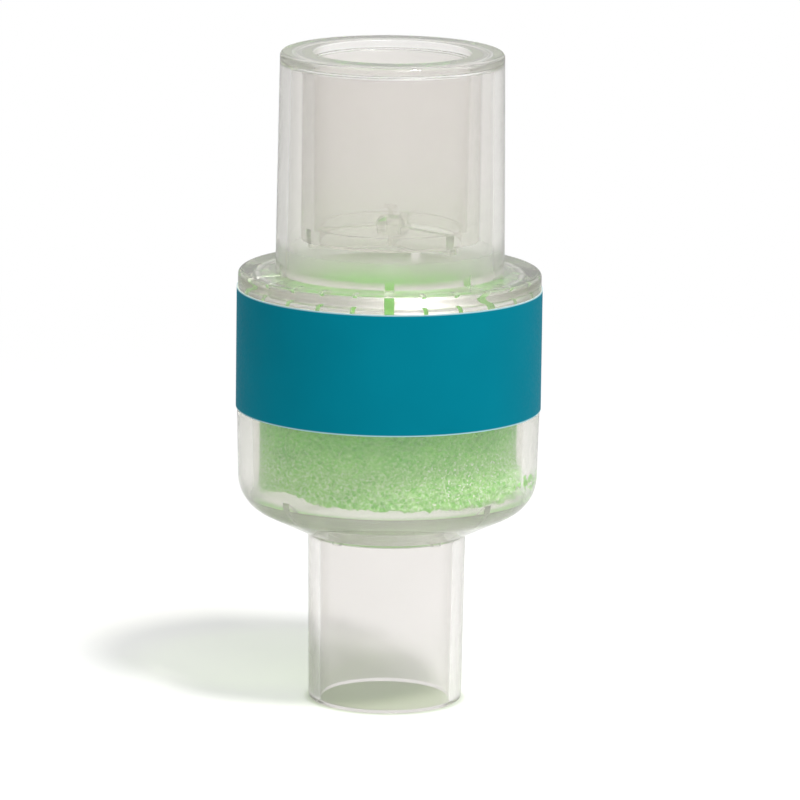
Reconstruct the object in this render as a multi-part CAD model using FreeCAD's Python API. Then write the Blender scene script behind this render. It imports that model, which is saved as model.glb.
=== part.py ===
import FreeCAD, Part
import math
import os

# Passive heat and moisture exchanger for a breathing circuit, in millimetres with +Z up. It stands
# on the open end of its small tube, and the origin is the centre of that end. The front is -Y.
# Radii are half of each named diameter. Azimuths run from the front, positive towards +X.

# Lengths along the axis, stacked from the open end of the small tube
tube_length = 16.85
body_height = 26.2
port_length = 21.65

# Conical connectors. Their diameters grow by 1 mm in 40 mm of length.
taper = 1 / 40
port_end_d = 21.95
port_wall = 1.1
port_rim_round = 0.45
socket_mouth_d = 15.47
socket_wall = 1.05
socket_depth = 17.1
socket_edge_round = 0.2
tube_end_d = 15.15
tube_wall = 1.175
tube_end_round = 0.4

# Web that joins the two upper tubes at the mouth and closes the gap between them
mouth_web = 0.95
gap_top_round = 0.45

# Grid at the foot of the socket: a stop ledge, three arms and a hub with its gate nub
stop_ledge_width = 0.57
stop_ledge_height = 1.2
arm_count = 3
arm_azimuth = 47.0
arm_width = 0.9
arm_height = 1.95
hub_d = 2.9
hub_rise = 1.0
hub_skirt = 0.8
hub_round = 0.95
nub_stem_d = 0.45
nub_head_d = 1.25
nub_head_thickness = 0.22
nub_height = 0.95

# Body shell
body_d = 29.8
body_wall = 1.5
shoulder_thickness = 1.4
shoulder_edge_round = 0.5
neck_round = 2.0
skirt_fillet = 1.0
core_draft_deg = 0.6

# Spacer ribs under the shoulder, which keep the medium off it
rib_count = 24
rib_width = 0.45
rib_reach = 1.5
rib_drop = 1.35
spacer_azimuths = (0.0, 45.0, 165.0, 285.0)
spacer_width = 0.9
spacer_proud = 0.25

# Cup below the label
cup_draft_deg = 1.3
cup_corner_round = 3.8
floor_deg = 25.5
neck_fillet = 0.35
floor_rib_count = 4
floor_rib_azimuth = 45.0
floor_rib_width = 0.8
floor_rib_height = 0.65
floor_rib_run_down_bore = 1.5
floor_rib_proud = 0.45

# Spigot joint of the two halves, behind the label
spigot_length = 2.3
spigot_wall = 0.75
bond_gap = 0.05

# Label band, a margin below the shoulder. The joint lies behind its middle.
label_margin = 1.7
label_height = 11.95
label_thickness = 0.1
label_gap = 0.02
label_seam = 1.2

# Foam medium, a loose fit in the cup
medium_side_gap = 0.56
medium_end_gap = 0.1
medium_edge_break = 0.35
chip_azimuth = -52.0
chip_height = 0.85
chip_depth = 2.2

# Levels and radii that follow from the sizes above
shoulder_z = tube_length + body_height
overall_height = shoulder_z + port_length
label_top_z = shoulder_z - label_margin
label_bottom_z = label_top_z - label_height
seam_z = (label_bottom_z + label_top_z) / 2
cone_slope = taper / 2
draft_slope = math.tan(math.radians(core_draft_deg))
cup_slope = math.tan(math.radians(cup_draft_deg))
floor_slope = math.tan(math.radians(floor_deg))

port_end_r = port_end_d / 2
port_base_r = port_end_r + cone_slope * port_length
shell_top_r = port_end_r - port_wall
web_z = overall_height - mouth_web
neck_inner_r = shell_top_r + cone_slope * (web_z - shoulder_z)
socket_mouth_r = socket_mouth_d / 2
socket_stop_z = overall_height - socket_depth
socket_stop_r = socket_mouth_r - cone_slope * socket_depth
socket_outer_r = socket_mouth_r + socket_wall
ledge_r = socket_stop_r - stop_ledge_width
ledge_z = socket_stop_z - stop_ledge_height
hub_r = hub_d / 2

body_r = body_d / 2
body_inner_r = body_r - body_wall
underside_z = shoulder_z - shoulder_thickness
rib_bottom_z = underside_z - rib_drop
spigot_r = body_inner_r + spigot_wall
spigot_bottom_z = seam_z - spigot_length

tube_end_r = tube_end_d / 2
tube_top_r = tube_end_r + cone_slope * tube_length
bore_r = tube_end_r - tube_wall
floor_wall_rise = body_wall / math.cos(math.radians(floor_deg))


def drafted_bore(z):
    """Radius of the small tube's bore at a height."""
    return bore_r + draft_slope * z


def cup_inner(z):
    """Radius of the cup's inner wall at a height. It is parallel to the drafted outside."""
    return body_inner_r - cup_slope * max(0.0, label_bottom_z - z)


def floor_outer(r):
    """Height of the cup's outer floor at a radius. It starts from the top of the small tube."""
    return tube_length + floor_slope * (r - tube_top_r)


def floor_inner(r):
    """Height of the cup's inner floor at a radius."""
    return floor_outer(r) + floor_wall_rise


def bore_top():
    """Radius and height where the inner floor meets the small tube's bore."""
    r = drafted_bore(floor_inner(0.0)) / (1 - draft_slope * floor_slope)
    return r, floor_inner(r)


def floor_corner():
    """Radius and height where the inner floor meets the cup's inner wall."""
    r = cup_inner(floor_inner(0.0)) / (1 - cup_slope * floor_slope)
    return r, floor_inner(r)


def wall_foot():
    """Radius and height where the outer floor would meet the outer wall without the round."""
    r = (cup_inner(floor_outer(0.0)) + body_wall) / (1 - cup_slope * floor_slope)
    return r, floor_outer(r)


def medium_radius():
    """Radius of the foam, which clears the cup's wall at its narrowest."""
    return floor_corner()[0] - medium_side_gap


def rounded_face(corners):
    """Face in the XZ plane. A corner is (radius, height), with a third number where it is rounded."""
    edges = []
    arcs = []
    count = len(corners)
    starts = []
    ends = []
    for i, corner in enumerate(corners):
        here = FreeCAD.Vector(corner[0], 0, corner[1])
        before = FreeCAD.Vector(corners[i - 1][0], 0, corners[i - 1][1])
        after = FreeCAD.Vector(corners[(i + 1) % count][0], 0, corners[(i + 1) % count][1])
        radius = corner[2] if len(corner) > 2 else 0.0
        if not radius:
            starts.append(here)
            ends.append(here)
            arcs.append(None)
            continue
        back = (before - here).normalize()
        ahead = (after - here).normalize()
        half = back.getAngle(ahead) / 2
        reach = radius / math.tan(half)
        middle = here + (back + ahead).normalize() * (radius / math.sin(half) - radius)
        starts.append(here + back * reach)
        ends.append(here + ahead * reach)
        arcs.append(Part.Arc(starts[-1], middle, ends[-1]).toShape())
    for i in range(count):
        if arcs[i]:
            edges.append(arcs[i])
        start = ends[i]
        end = starts[(i + 1) % count]
        if start.distanceToPoint(end) > 1e-6:
            edges.append(Part.LineSegment(start, end).toShape())
    return Part.Face(Part.Wire(edges))


def turned(corners, angle=360.0):
    """Solid turned about Z from a half section."""
    origin = FreeCAD.Vector(0, 0, 0)
    return rounded_face(corners).revolve(origin, FreeCAD.Vector(0, 0, 1), angle)


def fin(corners, width, azimuth):
    """Upright plate with a half section, pointing outwards at an azimuth."""
    plate = rounded_face(corners).extrude(FreeCAD.Vector(0, width, 0))
    plate.translate(FreeCAD.Vector(0, -width / 2, 0))
    plate.rotate(FreeCAD.Vector(0, 0, 0), FreeCAD.Vector(0, 0, 1), azimuth - 90)
    return plate


def joined(solid, others):
    """One solid from touching pieces of one moulding."""
    return solid.fuse(others).removeSplitter()


def port_and_skirt():
    """Coaxial port, shoulder and skirt. One outline runs from the mouth down the outside and back up."""
    return turned(
        [
            (socket_mouth_r, overall_height, socket_edge_round),
            (port_end_r, overall_height, port_rim_round),
            (port_base_r, shoulder_z),
            (body_r, shoulder_z, shoulder_edge_round),
            (body_r, seam_z),
            (spigot_r, seam_z),
            (spigot_r, spigot_bottom_z),
            (body_inner_r, spigot_bottom_z),
            (body_inner_r, underside_z, skirt_fillet),
            (neck_inner_r, underside_z, neck_round),
            (shell_top_r, web_z, gap_top_round),
            (socket_outer_r, web_z, gap_top_round),
            (socket_outer_r, ledge_z),
            (ledge_r, ledge_z),
            (ledge_r, socket_stop_z),
            (socket_stop_r, socket_stop_z),
        ]
    )


def spider():
    """Hub, arms and gate nub across the foot of the socket."""
    arm_bottom_z = socket_stop_z - arm_height
    arm_end_r = (socket_stop_r + socket_outer_r) / 2
    hub_bottom_z = socket_stop_z - hub_skirt
    hub_top_z = socket_stop_z + hub_rise
    nub_top_z = hub_top_z + nub_height
    stem_r = nub_stem_d / 2
    head_r = nub_head_d / 2
    hub = turned(
        [
            (0, hub_bottom_z),
            (hub_r, hub_bottom_z),
            (hub_r, hub_top_z, hub_round),
            (stem_r, hub_top_z),
            (stem_r, nub_top_z - nub_head_thickness),
            (head_r, nub_top_z - nub_head_thickness),
            (head_r, nub_top_z),
            (0, nub_top_z),
        ]
    )
    arm = [
        (0, arm_bottom_z),
        (arm_end_r, arm_bottom_z),
        (arm_end_r, socket_stop_z),
        (0, socket_stop_z),
    ]
    arms = [fin(arm, arm_width, arm_azimuth + i * 360 / arm_count) for i in range(arm_count)]
    return joined(hub, arms)


def shoulder_ribs():
    """Thin ribs in the skirt's corner, with the wide spacers that run on to the neck."""
    wall_r = body_inner_r + body_wall / 2
    plate_z = underside_z + shoulder_thickness / 2
    neck_wall_r = neck_inner_r + port_wall / 2
    neck_top_z = underside_z + neck_round + spacer_proud
    tip_r = body_inner_r - rib_reach
    thin = [(tip_r, rib_bottom_z), (wall_r, rib_bottom_z), (wall_r, plate_z), (tip_r, plate_z)]
    wide = [
        (neck_inner_r - spacer_proud, rib_bottom_z),
        (wall_r, rib_bottom_z),
        (wall_r, plate_z),
        (neck_wall_r, plate_z),
        (neck_wall_r, neck_top_z),
        (neck_inner_r - spacer_proud, neck_top_z),
    ]
    pitch = 360 / rib_count
    thin_azimuths = [
        i * pitch
        for i in range(rib_count)
        if all(abs((i * pitch - a + 180) % 360 - 180) > pitch / 2 for a in spacer_azimuths)
    ]
    ribs = [fin(thin, rib_width, azimuth) for azimuth in thin_azimuths]
    return ribs + [fin(wide, spacer_width, azimuth) for azimuth in spacer_azimuths]


def upper_housing():
    """Clear moulding with both upper connectors, the shoulder and the skirt."""
    return joined(port_and_skirt(), [spider()] + shoulder_ribs())


def cup_and_tube():
    """Cup, conical floor and small tube of the lower moulding."""
    bore_top_r, bore_top_z = bore_top()
    corner_r, corner_z = floor_corner()
    foot_r, foot_z = wall_foot()
    counterbore_r = spigot_r + bond_gap
    counterbore_z = spigot_bottom_z - bond_gap
    return turned(
        [
            (drafted_bore(0), 0, tube_end_round),
            (tube_end_r, 0, tube_end_round),
            (tube_top_r, tube_length, neck_fillet),
            (foot_r, foot_z, cup_corner_round),
            (body_r, label_bottom_z),
            (body_r, seam_z),
            (counterbore_r, seam_z),
            (counterbore_r, counterbore_z),
            (body_inner_r, counterbore_z),
            (body_inner_r, label_bottom_z),
            (corner_r, corner_z),
            (bore_top_r, bore_top_z, neck_fillet),
        ]
    )


def floor_ribs():
    """Radial ribs on the conical floor, which run a little way down the bore."""
    bore_top_r, bore_top_z = bore_top()
    embed = body_wall / 2
    outer_r = floor_corner()[0] + embed / 2
    inner_r = bore_top_r - floor_rib_proud
    sunk_r = bore_top_r + embed / 2
    foot_z = bore_top_z - floor_rib_run_down_bore
    section = [
        (inner_r, floor_inner(inner_r) + floor_rib_height),
        (inner_r, foot_z),
        (sunk_r, foot_z),
        (sunk_r, floor_inner(sunk_r) - embed / 2),
        (outer_r, floor_inner(outer_r) - embed / 2),
        (outer_r, floor_inner(outer_r) + floor_rib_height),
    ]
    step = 360 / floor_rib_count
    azimuths = [floor_rib_azimuth + i * step for i in range(floor_rib_count)]
    return [fin(section, floor_rib_width, azimuth) for azimuth in azimuths]


def lower_housing():
    """Clear moulding with the cup and the small tube."""
    return joined(cup_and_tube(), floor_ribs())


def medium_levels():
    """Bottom and top of the foam, held between the floor ribs and the ribs under the shoulder."""
    seat_z = floor_inner(medium_radius()) + floor_rib_height
    return seat_z + medium_end_gap, rib_bottom_z - medium_end_gap


def hme_foam():
    """Plug of foam with a small edge break and one crumbled stretch of its lower edge."""
    medium_r = medium_radius()
    bottom_z, top_z = medium_levels()
    plug = turned(
        [
            (0, bottom_z),
            (medium_r - medium_edge_break, bottom_z),
            (medium_r, bottom_z + medium_edge_break),
            (medium_r, top_z),
            (0, top_z),
        ]
    )
    # the cut rises outwards and passes chip_height above the bottom at the plug's side
    chip = fin(
        [
            (medium_r - chip_depth, bottom_z - chip_height),
            (medium_r + chip_depth, bottom_z - chip_height),
            (medium_r + chip_depth, bottom_z + 2 * chip_height),
            (medium_r - chip_depth, bottom_z),
        ],
        2 * medium_r,
        chip_azimuth,
    )
    return plug.cut(chip)


def label():
    """Printed band round the joint, with its two ends meeting at the back."""
    inner_r = body_r + label_gap
    outer_r = inner_r + label_thickness
    seam_deg = math.degrees(label_seam / outer_r)
    band = turned(
        [
            (inner_r, label_bottom_z),
            (outer_r, label_bottom_z),
            (outer_r, label_top_z),
            (inner_r, label_top_z),
        ],
        360 - seam_deg,
    )
    band.rotate(FreeCAD.Vector(0, 0, 0), FreeCAD.Vector(0, 0, 1), 90 + seam_deg / 2)
    return band


def main():
    os.makedirs("parts", exist_ok=True)
    pieces = {
        "upper_housing": upper_housing(),
        "lower_housing": lower_housing(),
        "hme_foam": hme_foam(),
        "label": label(),
    }
    for name, shape in pieces.items():
        if not shape.isValid() or len(shape.Solids) != 1:
            raise ValueError(name + " is not one valid solid")
        solid = shape.Solids[0]
        print(name, round(solid.Volume, 2), solid.BoundBox)
        solid.exportStep("parts/" + name + ".step")


main()
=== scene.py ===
import math

import bmesh
import bpy
from mathutils import Matrix, Vector, noise

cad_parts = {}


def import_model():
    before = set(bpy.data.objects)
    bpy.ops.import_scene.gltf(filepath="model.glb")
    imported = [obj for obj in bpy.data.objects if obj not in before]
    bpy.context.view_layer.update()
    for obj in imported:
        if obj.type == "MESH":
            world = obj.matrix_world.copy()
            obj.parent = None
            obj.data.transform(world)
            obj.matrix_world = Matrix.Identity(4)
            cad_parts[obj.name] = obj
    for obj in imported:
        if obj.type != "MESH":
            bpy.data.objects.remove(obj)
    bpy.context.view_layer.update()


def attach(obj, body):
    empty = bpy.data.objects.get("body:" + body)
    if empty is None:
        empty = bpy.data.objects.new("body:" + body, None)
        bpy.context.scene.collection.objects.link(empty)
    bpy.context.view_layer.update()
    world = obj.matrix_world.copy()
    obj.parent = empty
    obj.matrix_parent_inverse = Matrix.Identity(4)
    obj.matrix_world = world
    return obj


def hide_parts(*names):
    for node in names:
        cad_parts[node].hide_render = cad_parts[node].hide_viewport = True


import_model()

# Sizes in millimetres, as in the CAD source
MM = 0.001
TUBE_LENGTH = 16.85
BODY_HEIGHT = 26.2
PORT_LENGTH = 21.65
CONE = 1 / 80
PORT_END_R = 21.95 / 2
PORT_WALL = 1.1
PORT_RIM_ROUND = 0.45
SOCKET_MOUTH_R = 15.47 / 2
SOCKET_WALL = 1.05
SOCKET_DEPTH = 17.1
SOCKET_EDGE_ROUND = 0.2
MOUTH_WEB = 0.95
GAP_TOP_ROUND = 0.45
LEDGE_WIDTH = 0.57
LEDGE_HEIGHT = 1.2
ARM_COUNT = 3
ARM_AZIMUTH = 47.0
ARM_WIDTH = 0.9
ARM_HEIGHT = 1.95
HUB_R = 2.9 / 2
HUB_RISE = 1.0
HUB_SKIRT = 0.8
HUB_ROUND = 0.95
NUB_STEM_R = 0.45 / 2
NUB_HEAD_R = 1.25 / 2
NUB_HEAD_THICKNESS = 0.22
NUB_HEIGHT = 0.95
TUBE_END_R = 15.15 / 2
TUBE_WALL = 1.175
TUBE_END_ROUND = 0.4
BODY_R = 29.8 / 2
BODY_WALL = 1.5
SHOULDER_THICKNESS = 1.4
SHOULDER_EDGE_ROUND = 0.5
RIB_COUNT = 24
RIB_WIDTH = 0.45
RIB_REACH = 1.5
RIB_DROP = 1.35
SPACER_AZIMUTHS = (0.0, 45.0, 165.0, 285.0)
SPACER_WIDTH = 0.9
SPACER_PROUD = 0.25
NECK_ROUND = 2.0
SKIRT_FILLET = 1.0
SPIGOT_LENGTH = 2.3
SPIGOT_WALL = 0.75
BOND_GAP = 0.05
CUP_SLOPE = math.tan(math.radians(1.3))
CUP_CORNER_ROUND = 3.8
FLOOR_ANGLE = math.radians(25.5)
FLOOR_SLOPE = math.tan(FLOOR_ANGLE)
DRAFT = math.tan(math.radians(0.6))
NECK_FILLET = 0.35
FLOOR_RIB_COUNT = 4
FLOOR_RIB_AZIMUTH = 45.0
FLOOR_RIB_WIDTH = 0.8
FLOOR_RIB_HEIGHT = 0.65
FLOOR_RIB_RUN_DOWN_BORE = 1.5
FLOOR_RIB_PROUD = 0.45
LABEL_MARGIN = 1.7
LABEL_HEIGHT = 11.95
LABEL_THICKNESS = 0.1
LABEL_GAP = 0.02
LABEL_SEAM = 1.2
FOAM_SIDE_GAP = 0.56
FOAM_END_GAP = 0.1
FOAM_CELL = 0.62

SHOULDER_Z = TUBE_LENGTH + BODY_HEIGHT
TOP_Z = SHOULDER_Z + PORT_LENGTH
LABEL_TOP_Z = SHOULDER_Z - LABEL_MARGIN
LABEL_BOTTOM_Z = LABEL_TOP_Z - LABEL_HEIGHT
SEAM_Z = (LABEL_BOTTOM_Z + LABEL_TOP_Z) / 2
PORT_BASE_R = PORT_END_R + CONE * PORT_LENGTH
SHELL_TOP_R = PORT_END_R - PORT_WALL
WEB_Z = TOP_Z - MOUTH_WEB
NECK_INNER_R = SHELL_TOP_R + CONE * (WEB_Z - SHOULDER_Z)
SOCKET_STOP_Z = TOP_Z - SOCKET_DEPTH
SOCKET_STOP_R = SOCKET_MOUTH_R - CONE * SOCKET_DEPTH
SOCKET_OUTER_R = SOCKET_MOUTH_R + SOCKET_WALL
LEDGE_R = SOCKET_STOP_R - LEDGE_WIDTH
BODY_INNER_R = BODY_R - BODY_WALL
UNDERSIDE_Z = SHOULDER_Z - SHOULDER_THICKNESS
RIB_BOTTOM_Z = UNDERSIDE_Z - RIB_DROP
SPIGOT_R = BODY_INNER_R + SPIGOT_WALL
SPIGOT_BOTTOM_Z = SEAM_Z - SPIGOT_LENGTH
TUBE_TOP_R = TUBE_END_R + CONE * TUBE_LENGTH
FLOOR_RISE = BODY_WALL / math.cos(FLOOR_ANGLE)


def floor_outer(r):
    return TUBE_LENGTH + FLOOR_SLOPE * (r - TUBE_TOP_R)


def floor_inner(r):
    return floor_outer(r) + FLOOR_RISE


def cup_inner(z):
    return BODY_INNER_R - CUP_SLOPE * (LABEL_BOTTOM_Z - z)


CORNER_R = cup_inner(floor_inner(0.0)) / (1 - CUP_SLOPE * FLOOR_SLOPE)
FOOT_R = (cup_inner(floor_outer(0.0)) + BODY_WALL) / (1 - CUP_SLOPE * FLOOR_SLOPE)
BORE_R = TUBE_END_R - TUBE_WALL
BORE_TOP_R = (BORE_R + DRAFT * floor_inner(0.0)) / (1 - DRAFT * FLOOR_SLOPE)
FOAM_R = CORNER_R - FOAM_SIDE_GAP
FOAM_BOTTOM_Z = floor_inner(FOAM_R) + FLOOR_RIB_HEIGHT + FOAM_END_GAP
FOAM_TOP_Z = RIB_BOTTOM_Z - FOAM_END_GAP


# Mesh helpers

def outline(corners, arc_steps=8, support=0.12):
    """Points of a closed half section. A corner is (radius, height), with a third number for its round."""
    points = []
    count = len(corners)
    for i, corner in enumerate(corners):
        here = Vector(corner[:2])
        if len(corner) == 2:
            points.append(here)
            continue
        radius = corner[2]
        before = Vector(corners[i - 1][:2]) - here
        after = Vector(corners[(i + 1) % count][:2]) - here
        back = before.normalized()
        ahead = after.normalized()
        half = back.angle(ahead) / 2
        reach = radius / math.tan(half)
        centre = here + (back + ahead).normalized() * radius / math.sin(half)
        start = here + back * reach - centre
        end = here + ahead * reach - centre
        if before.length - reach > 3 * support:
            points.append(here + back * (reach + support))
        for k in range(arc_steps + 1):
            points.append(centre + start.slerp(end, k / arc_steps) * radius)
        if after.length - reach > 3 * support:
            points.append(here + ahead * (reach + support))
    return points


def turned(bm, points, segments=256, outside_to=None):
    """Adds the solid that a closed half section makes when it is turned about Z.

    The points up to outside_to are the outside skin of a moulding, which is the polished one.
    """
    polish = bm.verts.layers.float.new("polished")
    rings = []
    polished = 1.0 if outside_to else 0.0
    for r, z in points:
        steps = 1 if r < 1e-6 else segments
        ring = []
        for k in range(steps):
            a = 2 * math.pi * k / segments
            vert = bm.verts.new((r * math.cos(a) * MM, r * math.sin(a) * MM, z * MM))
            vert[polish] = polished
            ring.append(vert)
        rings.append(ring)
        if outside_to and abs(r - outside_to[0]) + abs(z - outside_to[1]) < 1e-6:
            polished = 0.0
    for i, low in enumerate(rings):
        high = rings[(i + 1) % len(rings)]
        if len(low) == 1 and len(high) == 1:
            continue
        for k in range(segments):
            n = (k + 1) % segments
            if len(low) == 1:
                bm.faces.new((low[0], high[n], high[k]))
            elif len(high) == 1:
                bm.faces.new((low[k], low[n], high[0]))
            else:
                bm.faces.new((low[k], low[n], high[n], high[k]))


def fin(bm, section, width, azimuth):
    """Adds an upright plate. Azimuth 0 points to the front, -Y, and grows towards +X."""
    turn = math.radians(azimuth - 90)
    c, s = math.cos(turn), math.sin(turn)
    sides = []
    for y in (-width / 2, width / 2):
        side = []
        for r, z in section:
            side.append(bm.verts.new(((r * c - y * s) * MM, (r * s + y * c) * MM, z * MM)))
        sides.append(side)
    bm.faces.new(sides[0])
    bm.faces.new(reversed(sides[1]))
    count = len(section)
    for i in range(count):
        n = (i + 1) % count
        bm.faces.new((sides[0][i], sides[1][i], sides[1][n], sides[0][n]))


def mesh_object(bm, name):
    bmesh.ops.recalc_face_normals(bm, faces=bm.faces)
    mesh = bpy.data.meshes.new(name)
    bm.to_mesh(mesh)
    bm.free()
    obj = bpy.data.objects.new(name, mesh)
    bpy.context.scene.collection.objects.link(obj)
    return obj


def united(base, extras):
    """Joins the extras to the base, so that each moulding is one closed skin."""
    for extra in extras:
        union = base.modifiers.new("union", "BOOLEAN")
        union.operation = "UNION"
        union.solver = "MANIFOLD"
        union.object = extra
    graph = bpy.context.evaluated_depsgraph_get()
    mesh = bpy.data.meshes.new_from_object(base.evaluated_get(graph))
    base.modifiers.clear()
    old = base.data
    base.data = mesh
    bpy.data.meshes.remove(old)
    mesh.name = base.name
    for extra in extras:
        bpy.data.objects.remove(extra)
    return base


def smooth(obj, degrees=28):
    obj.data.shade_smooth()
    obj.data.set_sharp_from_angle(angle=math.radians(degrees))


# Material helpers

def material(name):
    mat = bpy.data.materials.new(name)
    mat.use_nodes = True
    mat.node_tree.nodes.clear()
    return mat, mat.node_tree


def put(tree, kind, inputs=None, **settings):
    node = tree.nodes.new("ShaderNode" + kind)
    for key, value in settings.items():
        setattr(node, key, value)
    for key, value in (inputs or {}).items():
        if isinstance(value, bpy.types.NodeSocket):
            tree.links.new(value, node.inputs[key])
        else:
            node.inputs[key].default_value = value
    return node


def maths(tree, operation, a, b=0.0, clamp=False):
    return put(tree, "Math", {0: a, 1: b}, operation=operation, use_clamp=clamp).outputs[0]


def ramp(tree, fac, stops):
    node = put(tree, "ValToRGB", {"Fac": fac})
    elements = node.color_ramp.elements
    while len(elements) < len(stops):
        elements.new(0.5)
    for element, (position, colour) in zip(elements, stops):
        element.position = position
        element.color = (*colour, 1)
    return node.outputs["Color"]


def spread(tree, value, low, high, to_low=0.0, to_high=1.0):
    inputs = {"Value": value, "From Min": low, "From Max": high, "To Min": to_low, "To Max": to_high}
    return put(tree, "MapRange", inputs, interpolation_type="SMOOTHSTEP").outputs["Result"]


def by_height(tree, z, stops):
    """Colour by height, from stops of a height in millimetres and a colour."""
    level = maths(tree, "DIVIDE", z, TOP_Z * MM)
    return ramp(tree, level, [(height / TOP_Z, colour) for height, colour in stops])


# Materials

# Roughness of the core side of the mouldings at heights in millimetres. The cores are least polished
# round the space above the foam and on the cup's floor.
CORE_POLISH = [
    (0.0, 0.05),
    (16.8, 0.05),
    (18.0, 0.2),
    (21.5, 0.2),
    (23.5, 0.03),
    (SEAM_Z - 0.3, 0.03),
    (SEAM_Z, 0.3),
    (SOCKET_STOP_Z - LEDGE_HEIGHT - 1.2, 0.3),
    (SOCKET_STOP_Z - LEDGE_HEIGHT + 0.2, 0.01),
    (52.0, 0.01),
    (57.0, 0.05),
]

# Tint of the plastic at heights in millimetres, for walls seen face on and edge on. Over a faint warm
# colour it is painted shade and painted reflection: it stands in for the shade and colours that the
# real one picks up from its surroundings.
PLASTIC_TINT_AND_SHADE = [
    (0.0, (0.924, 0.9, 0.903)),
    (16.5, (0.924, 0.9, 0.903)),
    (17.5, (0.955, 0.935, 0.922)),
    (20.5, (0.955, 0.935, 0.922)),
    (23.0, (0.918, 0.902, 0.875)),
    (SEAM_Z - 1.0, (0.918, 0.902, 0.875)),
    (SEAM_Z, (0.93, 0.874, 0.886)),
    (SHOULDER_Z, (0.93, 0.874, 0.886)),
    (SHOULDER_Z + 0.8, (0.934, 0.914, 0.906)),
    (46.0, (0.924, 0.912, 0.894)),
    (50.0, (0.924, 0.912, 0.894)),
    (53.0, (0.932, 0.914, 0.907)),
    (62.5, (0.932, 0.914, 0.907)),
    (TOP_Z, (0.905, 0.885, 0.892)),
]
# Painted shade by height for walls seen edge on: they are made greyer, most of all on the tube.
EDGE_ON_SHADE = [
    (0.0, (0.63, 0.6, 0.58)),
    (16.5, (0.63, 0.6, 0.58)),
    (17.5, (0.73, 0.71, 0.68)),
]


def clear_plastic():
    """Polished clear plastic of a faint warm colour with painted shade. Light for the foam and floor passes
    straight through.
    """
    mat, tree = material("clear_plastic")
    where = put(tree, "TexCoord").outputs["Object"]
    ripple = put(tree, "TexNoise", {"Vector": where, "Scale": 160.0, "Detail": 1.0}).outputs["Fac"]
    grain = put(tree, "TexNoise", {"Vector": where, "Scale": 900.0, "Detail": 3.0}).outputs["Fac"]
    height = maths(tree, "ADD", ripple, maths(tree, "MULTIPLY", grain, 0.03))
    bump = put(tree, "Bump", {"Height": height, "Strength": 0.02, "Distance": 0.0006})
    polished = put(tree, "Attribute", attribute_name="polished").outputs["Fac"]
    rough = spread(tree, grain, 0.35, 0.7, 0.02, 0.05)
    z = put(tree, "SeparateXYZ", {0: where}).outputs["Z"]
    core = by_height(tree, z, [(level, (value,) * 3) for level, value in CORE_POLISH])
    core = maths(tree, "MULTIPLY", maths(tree, "SUBTRACT", 1.0, polished), core)
    rough = maths(tree, "ADD", rough, core)
    # painted shade: walls seen edge on are made greyer, standing in for the dimmer room seen through them
    facing = put(tree, "LayerWeight", {"Blend": 0.5}).outputs["Facing"]
    edge_on = spread(tree, facing, 0.4, 0.85)
    tint_and_shade = {"Factor": edge_on, 6: by_height(tree, z, PLASTIC_TINT_AND_SHADE), 7: by_height(tree, z, EDGE_ON_SHADE)}
    glass = put(
        tree,
        "BsdfPrincipled",
        {
            "Base Color": put(tree, "Mix", tint_and_shade, data_type="RGBA").outputs[2],
            "Roughness": rough,
            "IOR": 1.57,
            "Transmission Weight": 0.94,
            "Normal": bump.outputs["Normal"],
        },
    )
    through = put(tree, "BsdfTransparent", {"Color": (0.985, 0.98, 0.97, 1)})
    path = put(tree, "LightPath").outputs
    soft = maths(tree, "MAXIMUM", path["Is Shadow Ray"], path["Is Diffuse Ray"])
    mixed = put(tree, "MixShader", {0: soft, 1: glass.outputs[0], 2: through.outputs[0]})
    body = put(tree, "VolumeAbsorption", {"Color": (0.3, 0.4, 0.0, 1), "Density": 15.0})
    put(tree, "OutputMaterial", {"Surface": mixed.outputs[0], "Volume": body.outputs[0]})
    return mat


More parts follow.
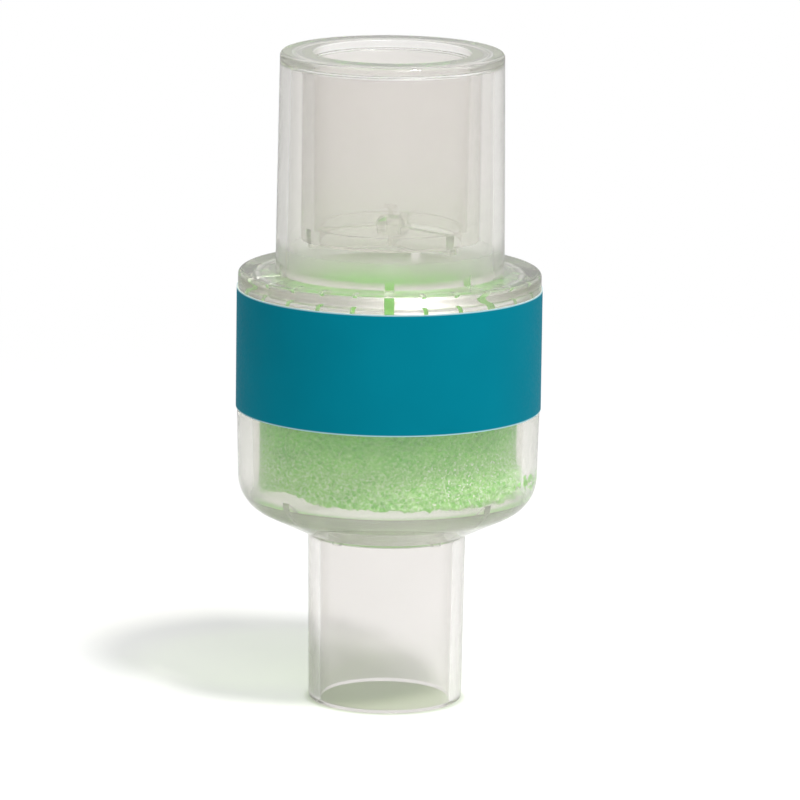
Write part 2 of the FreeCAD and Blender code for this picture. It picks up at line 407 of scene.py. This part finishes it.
def foam_green():
    """Open-cell foam: soft green cells with pale struts, with painted shade under the label and a few painted
    highlight specks.
    """
    mat, tree = material("hme_foam")
    where = put(tree, "TexCoord").outputs["Object"]
    cells = put(tree, "TexVoronoi", {"Vector": where, "Scale": 2100.0})
    fine = put(tree, "TexVoronoi", {"Vector": where, "Scale": 5200.0})
    cloud = put(tree, "TexNoise", {"Vector": where, "Scale": 330.0, "Detail": 3.0}).outputs["Fac"]
    speck = put(tree, "TexNoise", {"Vector": where, "Scale": 3700.0, "Detail": 1.0}).outputs["Fac"]
    # painted shade: the foam is a deeper green at the top, in the label's shade, and paler lower down, where
    # light off the floor reaches it
    shaded = ramp(tree, cloud, [(0.3, (0.11, 0.61, 0.0)), (0.7, (0.18, 0.72, 0.01))])
    lower = ramp(tree, cloud, [(0.3, (0.16, 0.59, 0.03)), (0.7, (0.26, 0.7, 0.09))])
    axes = put(tree, "SeparateXYZ", {0: where}).outputs
    x = axes["X"]
    z = axes["Z"]
    label_shade = spread(tree, z, (LABEL_BOTTOM_Z - 5) * MM, LABEL_BOTTOM_Z * MM)
    base = put(tree, "Mix", {"Factor": label_shade, 6: lower, 7: shaded}, data_type="RGBA").outputs[2]
    # The pale struts and flecks are the foam's own; they are made stronger low down and weaker under the label as
    # painted light and shade.
    struts = spread(tree, cells.outputs["Distance"], 0.3, 0.62, 0.0, 0.28)
    lit_below = spread(tree, z, 0.0225, 0.029, 1.0, 0.25)
    flecks = spread(tree, speck, 0.44, 0.72, 0.0, 0.6)
    pale = maths(tree, "MULTIPLY", maths(tree, "ADD", struts, flecks), lit_below, clamp=True)
    strut_colour = (0.68, 0.9, 0.53, 1)
    mixed = put(tree, "Mix", {"Factor": pale, 6: base, 7: strut_colour}, data_type="RGBA").outputs[2]
    # painted highlight: near-white specks of base colour, low on the foam and towards the right, where the light
    # falls
    spark = put(tree, "TexNoise", {"Vector": where, "Scale": 4200.0, "Detail": 0.0}).outputs["Fac"]
    to_right = spread(tree, x, 0.0, 0.006, 0.3, 1.0)
    low = spread(tree, z, 0.024, 0.028, 1.0, 0.15)
    painted_glint = maths(tree, "MULTIPLY", spread(tree, spark, 0.7, 0.75), maths(tree, "MULTIPLY", to_right, low))
    mixed = put(tree, "Mix", {"Factor": painted_glint, 6: mixed, 7: (0.97, 1.0, 0.9, 1)}, data_type="RGBA")
    pores = maths(tree, "MULTIPLY", fine.outputs["Distance"], 0.4)
    height = maths(tree, "ADD", cells.outputs["Distance"], pores)
    bump = put(tree, "Bump", {"Height": height, "Strength": 0.6, "Distance": 0.0002})
    shader = put(
        tree,
        "BsdfPrincipled",
        {
            "Base Color": mixed.outputs[2],
            "Roughness": spread(tree, speck, 0.4, 0.65, 0.75, 0.3),
            "Subsurface Weight": 0.35,
            "Subsurface Radius": (0.6, 1.0, 0.4),
            "Subsurface Scale": 0.0007,
            "Normal": bump.outputs["Normal"],
        },
    )
    # foam lets a little green light through to the floor
    through = put(tree, "BsdfTransparent", {"Color": (0.29, 0.38, 0.12, 1)})
    shadow = put(tree, "LightPath").outputs["Is Shadow Ray"]
    mixed = put(tree, "MixShader", {0: shadow, 1: shader.outputs[0], 2: through.outputs[0]})
    put(tree, "OutputMaterial", {"Surface": mixed.outputs[0]})
    return mat


def label_film():
    """Satin teal film with a pale cut edge."""
    mat, tree = material("label_film")
    where = put(tree, "TexCoord").outputs["Object"]
    axes = put(tree, "SeparateXYZ", {0: where}).outputs
    z = axes["Z"]
    middle = (LABEL_BOTTOM_Z + LABEL_TOP_Z) / 2 * MM
    off = maths(tree, "ABSOLUTE", maths(tree, "SUBTRACT", z, middle))
    half = LABEL_HEIGHT / 2 * MM
    edge = spread(tree, off, half - 0.00016, half - 0.00006, 0.0, 0.8)
    cloud = put(tree, "TexNoise", {"Vector": where, "Scale": 120.0, "Detail": 2.0}).outputs["Fac"]
    teal = ramp(tree, cloud, [(0.3, (0.0, 0.195, 0.275)), (0.7, (0.0, 0.21, 0.295))])
    printed = put(tree, "Mix", {"Factor": edge, 6: teal, 7: (0.5, 0.74, 0.78, 1)}, data_type="RGBA")
    out = put(tree, "CombineXYZ", {"X": axes["X"], "Y": axes["Y"]}).outputs[0]
    radius = put(tree, "VectorMath", {0: out}, operation="LENGTH").outputs["Value"]
    printed_side = maths(tree, "GREATER_THAN", radius, (BODY_R + LABEL_GAP + LABEL_THICKNESS / 2) * MM)
    backing = (0.9, 0.91, 0.89, 1)
    mixed = put(tree, "Mix", {"Factor": printed_side, 6: backing, 7: printed.outputs[2]}, data_type="RGBA")
    grain = put(tree, "TexNoise", {"Vector": where, "Scale": 3500.0, "Detail": 2.0}).outputs["Fac"]
    bump = put(tree, "Bump", {"Height": grain, "Strength": 0.08, "Distance": 0.00005})
    shader = put(
        tree,
        "BsdfPrincipled",
        {
            "Base Color": mixed.outputs[2],
            "Roughness": spread(tree, grain, 0.3, 0.7, 0.42, 0.55),
            "Specular IOR Level": 0.02,
            "Normal": bump.outputs["Normal"],
        },
    )
    put(tree, "OutputMaterial", {"Surface": shader.outputs[0]})
    return mat


# Pieces

def upper_housing():
    bm = bmesh.new()
    turned(
        bm,
        outline(
            [
                (SOCKET_MOUTH_R, TOP_Z, SOCKET_EDGE_ROUND),
                (PORT_END_R, TOP_Z, PORT_RIM_ROUND),
                (PORT_BASE_R, SHOULDER_Z),
                (BODY_R, SHOULDER_Z, SHOULDER_EDGE_ROUND),
                (BODY_R, SEAM_Z),
                (SPIGOT_R, SEAM_Z),
                (SPIGOT_R, SPIGOT_BOTTOM_Z),
                (BODY_INNER_R, SPIGOT_BOTTOM_Z),
                (BODY_INNER_R, UNDERSIDE_Z, SKIRT_FILLET),
                (NECK_INNER_R, UNDERSIDE_Z, NECK_ROUND),
                (SHELL_TOP_R, WEB_Z, GAP_TOP_ROUND),
                (SOCKET_OUTER_R, WEB_Z, GAP_TOP_ROUND),
                (SOCKET_OUTER_R, SOCKET_STOP_Z - LEDGE_HEIGHT),
                (LEDGE_R, SOCKET_STOP_Z - LEDGE_HEIGHT),
                (LEDGE_R, SOCKET_STOP_Z),
                (SOCKET_STOP_R, SOCKET_STOP_Z),
            ]
        ),
        outside_to=(BODY_R, SEAM_Z),
    )
    base = mesh_object(bm, "clear_upper_housing")

    bm = bmesh.new()
    arm_bottom = SOCKET_STOP_Z - ARM_HEIGHT
    hub_bottom = SOCKET_STOP_Z - HUB_SKIRT
    hub_top = SOCKET_STOP_Z + HUB_RISE
    nub_top = hub_top + NUB_HEIGHT
    head_bottom = nub_top - NUB_HEAD_THICKNESS
    turned(
        bm,
        outline(
            [
                (0, hub_bottom),
                (HUB_R, hub_bottom),
                (HUB_R, hub_top, HUB_ROUND),
                (NUB_STEM_R, hub_top),
                (NUB_STEM_R, head_bottom),
                (NUB_HEAD_R, head_bottom),
                (NUB_HEAD_R, nub_top),
                (0, nub_top),
            ],
            support=0.05,
        ),
        48,
    )
    hub = mesh_object(bm, "hub")

    arm_end = (SOCKET_STOP_R + SOCKET_OUTER_R) / 2
    arm = [(0, arm_bottom), (arm_end, arm_bottom), (arm_end, SOCKET_STOP_Z), (0, SOCKET_STOP_Z)]
    arms = []
    for i in range(ARM_COUNT):
        bm = bmesh.new()
        fin(bm, arm, ARM_WIDTH, ARM_AZIMUTH + 360 / ARM_COUNT * i)
        arms.append(mesh_object(bm, "arm"))

    bm = bmesh.new()
    wall = BODY_INNER_R + BODY_WALL / 2
    plate = UNDERSIDE_Z + SHOULDER_THICKNESS / 2
    neck = NECK_INNER_R + PORT_WALL / 2
    neck_top = UNDERSIDE_Z + NECK_ROUND + SPACER_PROUD
    tip = BODY_INNER_R - RIB_REACH
    thin = [(tip, RIB_BOTTOM_Z), (wall, RIB_BOTTOM_Z), (wall, plate), (tip, plate)]
    wide = [
        (NECK_INNER_R - SPACER_PROUD, RIB_BOTTOM_Z),
        (wall, RIB_BOTTOM_Z),
        (wall, plate),
        (neck, plate),
        (neck, neck_top),
        (NECK_INNER_R - SPACER_PROUD, neck_top),
    ]
    pitch = 360 / RIB_COUNT
    for i in range(RIB_COUNT):
        if all(abs((i * pitch - a + 180) % 360 - 180) > pitch / 2 for a in SPACER_AZIMUTHS):
            fin(bm, thin, RIB_WIDTH, i * pitch)
    for azimuth in SPACER_AZIMUTHS:
        fin(bm, wide, SPACER_WIDTH, azimuth)
    fins = mesh_object(bm, "fins")
    united(base, [hub, *arms, fins])
    smooth(base)
    return base


def lower_housing():
    bm = bmesh.new()
    counterbore = SPIGOT_R + BOND_GAP
    turned(
        bm,
        outline(
            [
                (BORE_R, 0, TUBE_END_ROUND),
                (TUBE_END_R, 0, TUBE_END_ROUND),
                (TUBE_TOP_R, TUBE_LENGTH, NECK_FILLET),
                (FOOT_R, floor_outer(FOOT_R), CUP_CORNER_ROUND),
                (BODY_R, LABEL_BOTTOM_Z),
                (BODY_R, SEAM_Z),
                (counterbore, SEAM_Z),
                (counterbore, SPIGOT_BOTTOM_Z - BOND_GAP),
                (BODY_INNER_R, SPIGOT_BOTTOM_Z - BOND_GAP),
                (BODY_INNER_R, LABEL_BOTTOM_Z),
                (CORNER_R, floor_inner(CORNER_R)),
                (BORE_TOP_R, floor_inner(BORE_TOP_R), NECK_FILLET),
            ]
        ),
        outside_to=(BODY_R, SEAM_Z),
    )
    base = mesh_object(bm, "clear_lower_housing")
    bm = bmesh.new()
    embed = BODY_WALL / 2
    outer = CORNER_R + embed / 2
    inner = BORE_TOP_R - FLOOR_RIB_PROUD
    sunk = BORE_TOP_R + embed / 2
    foot = floor_inner(BORE_TOP_R) - FLOOR_RIB_RUN_DOWN_BORE
    section = [
        (inner, floor_inner(inner) + FLOOR_RIB_HEIGHT),
        (inner, foot),
        (sunk, foot),
        (sunk, floor_inner(sunk) - embed / 2),
        (outer, floor_inner(outer) - embed / 2),
        (outer, floor_inner(outer) + FLOOR_RIB_HEIGHT),
    ]
    for i in range(FLOOR_RIB_COUNT):
        fin(bm, section, FLOOR_RIB_WIDTH, FLOOR_RIB_AZIMUTH + 360 / FLOOR_RIB_COUNT * i)
    united(base, [mesh_object(bm, "floor_ribs")])
    smooth(base)
    return base


def label():
    bm = bmesh.new()
    inner = (BODY_R + LABEL_GAP) * MM
    outer = inner + LABEL_THICKNESS * MM
    gap = LABEL_SEAM * MM / outer
    steps = 256
    section = [
        (inner, LABEL_BOTTOM_Z * MM),
        (outer, LABEL_BOTTOM_Z * MM),
        (outer, LABEL_TOP_Z * MM),
        (inner, LABEL_TOP_Z * MM),
    ]
    rings = []
    for k in range(steps + 1):
        a = math.pi / 2 + gap / 2 + (2 * math.pi - gap) * k / steps
        rings.append([bm.verts.new((r * math.cos(a), r * math.sin(a), z)) for r, z in section])
    for low, high in zip(rings, rings[1:]):
        for i in range(4):
            n = (i + 1) % 4
            bm.faces.new((low[i], low[n], high[n], high[i]))
    bm.faces.new(rings[0])
    bm.faces.new(reversed(rings[-1]))
    band = mesh_object(bm, "label_band")
    smooth(band)
    return band


def foam_height(point, scale):
    """Height of the foam's skin at a point, in millimetres, from its cells."""
    near = noise.voronoi(point / scale)[0]
    strut = 1 - min(1.0, (near[1] - near[0]) / 0.35)
    return 0.1 * strut - 0.16 * (1 - min(1.0, near[0] / 0.45))


def bell(value, middle, width):
    return math.exp(-(((value - middle) / width) ** 2))


def foam():
    """Foam plug with cells on its skin. Its lower edge is chipped at the left and meets the wall at the right."""
    segments = 600
    rows = []
    for i in range(20):
        rows.append((FOAM_R * (0.02 + 0.96 * i / 19), FOAM_BOTTOM_Z, "bottom"))
    rows.append((FOAM_R, FOAM_BOTTOM_Z + 0.12, "side"))
    z = FOAM_BOTTOM_Z + 0.25
    while z < FOAM_TOP_Z:
        rows.append((FOAM_R, z, "side"))
        z += 0.13 if z < LABEL_BOTTOM_Z + 0.6 else 0.5
    for i in range(34):
        rows.append((FOAM_R * (0.985 - 0.965 * i / 33), FOAM_TOP_Z, "top"))
    bm = bmesh.new()
    rings = []
    for r, z, side in rows:
        ring = []
        for k in range(segments):
            a = 2 * math.pi * k / segments
            point = Vector((r * math.cos(a), r * math.sin(a), z))
            out = Vector((math.cos(a), math.sin(a), 0))
            front = math.degrees(math.atan2(out.x, -out.y))
            rise = foam_height(point, FOAM_CELL) + 0.12 * noise.noise(point / 1.7) - 0.1
            if side == "side":
                swell = bell(front, 84, 30) * bell(z, 22.7, 1.2)
                pressed = 0.95 * swell * (1 + 0.8 * noise.noise(point / 0.55))
                rise = min(rise + pressed, cup_inner(z) + 0.03 - FOAM_R)
                moved = point + out * rise
            elif side == "top":
                moved = point + Vector((0, 0, min(0.0, rise)))
            else:
                moved = point - Vector((0, 0, rise))
            low = max(0.0, 1 - (z - FOAM_BOTTOM_Z) / 1.6)
            if low > 0:
                ragged = noise.noise(Vector((out.x, out.y, 0)) * 9.0) + 0.6 * noise.noise(out * 26.0)
                chip = bell(front, -50, 17)
                moved.z += low * (0.28 * ragged + 0.75 * chip + 0.1) * min(1.0, (r / FOAM_R) ** 6)
            ring.append(bm.verts.new(moved * MM))
        rings.append(ring)
    for low, high in zip(rings, rings[1:]):
        for k in range(segments):
            n = (k + 1) % segments
            bm.faces.new((low[k], low[n], high[n], high[k]))
    bm.faces.new(reversed(rings[0]))
    bm.faces.new(rings[-1])
    plug = mesh_object(bm, "foam_medium")
    plug.data.shade_smooth()
    return plug


clear = clear_plastic()
pieces = [
    (upper_housing(), "upper_housing", "clear_plastic", clear),
    (lower_housing(), "lower_housing", "clear_plastic", clear),
    (foam(), "hme_foam", "foam", foam_green()),
    (label(), "label", "label_film", label_film()),
]
for piece, node_name, slot_name, mat in pieces:
    piece.data.materials.clear()
    piece.data.materials.append(mat)
    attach(piece, "root")
    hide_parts(node_name)


# Floor, world and lamps

# How bright the far floor and the horizon look in a reflection. Straight through the plastic they are white.
MIRRORED = 0.5
# The room is a little dimmer to the left, which shows only in what the plastic bends.
LEFT_DIM = 0.86


def dimmed_left(tree, path, rightward):
    """Strength of the white that a ray sees, by how far to the right it goes."""
    dimmer = spread(tree, rightward, -0.5, -0.12, LEFT_DIM, 1.0)
    return put(tree, "Mix", {"Factor": path["Is Transmission Ray"], 2: 1.0, 3: dimmer}).outputs[0]


def floor():
    bm = bmesh.new()
    bmesh.ops.create_circle(bm, cap_ends=True, radius=4.0, segments=64)
    plane = mesh_object(bm, "floor")
    mat, tree = material("floor")
    where = put(tree, "TexCoord").outputs["Object"]
    away = put(tree, "VectorMath", {0: where}, operation="LENGTH").outputs["Value"]
    far = spread(tree, away, 0.06, 0.22)
    path = put(tree, "LightPath").outputs
    seen = maths(tree, "MAXIMUM", path["Is Camera Ray"], path["Is Transmission Ray"])
    seen = maths(tree, "MAXIMUM", seen, maths(tree, "MULTIPLY", path["Is Glossy Ray"], MIRRORED))
    # painted shade: inside the tube the floor is darker and green, and gets no lift, standing in for the foam's
    # shadow and its green light
    clear_of_tube = spread(tree, away, 0.0068, 0.0085)
    shade = {"Factor": clear_of_tube, 6: (0.6, 0.64, 0.52, 1), 7: (0.82, 0.82, 0.81, 1)}
    pale = put(tree, "BsdfDiffuse", {"Color": put(tree, "Mix", shade, data_type="RGBA").outputs[2]})
    # painted shadow: seen through the plastic, the floor left of and behind the tube gets less lift than the
    # camera sees
    shade = {0: where, 1: (-0.0112, 0.008, 0)}
    from_shade = put(tree, "VectorMath", shade, operation="DISTANCE").outputs["Value"]
    painted_shadow_lift = spread(tree, from_shade, 0.010, 0.019, 0.07, 0.3)
    strength = put(tree, "Mix", {"Factor": path["Is Transmission Ray"], 2: 0.3, 3: painted_shadow_lift}).outputs[0]
    strength = maths(tree, "MULTIPLY", strength, clear_of_tube)
    lift = put(tree, "Emission", {"Color": (1, 1, 1, 1), "Strength": strength})
    near = put(tree, "AddShader", {0: pale.outputs[0], 1: lift.outputs[0]})
    x = put(tree, "SeparateXYZ", {0: where}).outputs["X"]
    bent = dimmed_left(tree, path, maths(tree, "DIVIDE", x, away))
    plain = put(tree, "Emission", {"Color": (1, 1, 1, 1), "Strength": bent})
    shown = put(tree, "MixShader", {0: far, 1: near.outputs[0], 2: plain.outputs[0]})
    black = put(tree, "BsdfDiffuse", {"Color": (0, 0, 0, 1)})
    faded = put(tree, "MixShader", {0: far, 1: pale.outputs[0], 2: black.outputs[0]})
    mirror = maths(tree, "SUBTRACT", path["Is Glossy Ray"], path["Is Transmission Ray"], clamp=True)
    unseen = put(tree, "MixShader", {0: mirror, 1: pale.outputs[0], 2: faded.outputs[0]})
    both = put(tree, "MixShader", {0: seen, 1: unseen.outputs[0], 2: shown.outputs[0]})
    put(tree, "OutputMaterial", {"Surface": both.outputs[0]})
    plane.data.materials.append(mat)


def world():
    sky = bpy.data.worlds.new("studio")
    bpy.context.scene.world = sky
    sky.use_nodes = True
    tree = sky.node_tree
    tree.nodes.clear()
    path = put(tree, "LightPath").outputs
    seen = maths(tree, "MAXIMUM", path["Is Camera Ray"], path["Is Transmission Ray"])
    ahead = put(tree, "SeparateXYZ", {0: put(tree, "TexCoord").outputs["Generated"]}).outputs
    mirrored = ramp(tree, ahead["Z"], [(0.02, (MIRRORED,) * 3), (0.22, (0.8, 0.8, 0.79))])
    grey = (0.5, 0.5, 0.5, 1)
    soft = put(tree, "Mix", {"Factor": path["Is Glossy Ray"], 6: grey, 7: mirrored}, data_type="RGBA")
    dim = put(tree, "Background", {"Color": soft.outputs[2], "Strength": 1.0})
    bent = dimmed_left(tree, path, ahead["X"])
    white = put(tree, "Background", {"Color": (1, 1, 1, 1), "Strength": bent})
    both = put(tree, "MixShader", {0: seen, 1: dim.outputs[0], 2: white.outputs[0]})
    put(tree, "OutputWorld", {"Surface": both.outputs[0]})


def lamp(name, place, aim, size, power):
    data = bpy.data.lights.new(name, "AREA")
    data.shape = "DISK"
    data.size = size
    data.energy = power
    obj = bpy.data.objects.new(name, data)
    obj.location = place
    obj.rotation_euler = (Vector(aim) - Vector(place)).to_track_quat("-Z", "Y").to_euler()
    bpy.context.scene.collection.objects.link(obj)


def camera():
    tilt = math.radians(11.47)
    roll = math.radians(0.73)
    target = Vector((1.15, 0, 30.02)) * MM
    back = Vector((0, -math.cos(tilt), math.sin(tilt)))
    upright = Vector((0, math.sin(tilt), math.cos(tilt)))
    side = Vector((1, 0, 0))
    right = math.cos(roll) * side + math.sin(roll) * upright
    up = -math.sin(roll) * side + math.cos(roll) * upright
    data = bpy.data.cameras.new("camera")
    data.sensor_width = 36.0
    data.sensor_fit = "HORIZONTAL"
    data.lens = 319.9
    data.clip_start = 0.01
    obj = bpy.data.objects.new("camera", data)
    turn = Matrix((right, up, back)).transposed()
    obj.matrix_world = Matrix.Translation(target + back * 0.7) @ turn.to_4x4()
    bpy.context.scene.collection.objects.link(obj)
    bpy.context.scene.camera = obj


floor()
world()
lamp("key", (0.15, -0.20, 0.486), (0, 0, 0.03), 0.08, 1.6)
lamp("side", (0.50, 0.05, 0.30), (0, 0, 0.03), 0.4, 0.3)
lamp("front", (0.10, -0.43, 0.42), (0, 0, 0.03), 0.18, 0.4)
camera()

scene = bpy.context.scene
scene.view_settings.view_transform = "Standard"
scene.cycles.max_bounces = 32
scene.cycles.transmission_bounces = 32
scene.cycles.glossy_bounces = 16
scene.cycles.transparent_max_bounces = 48
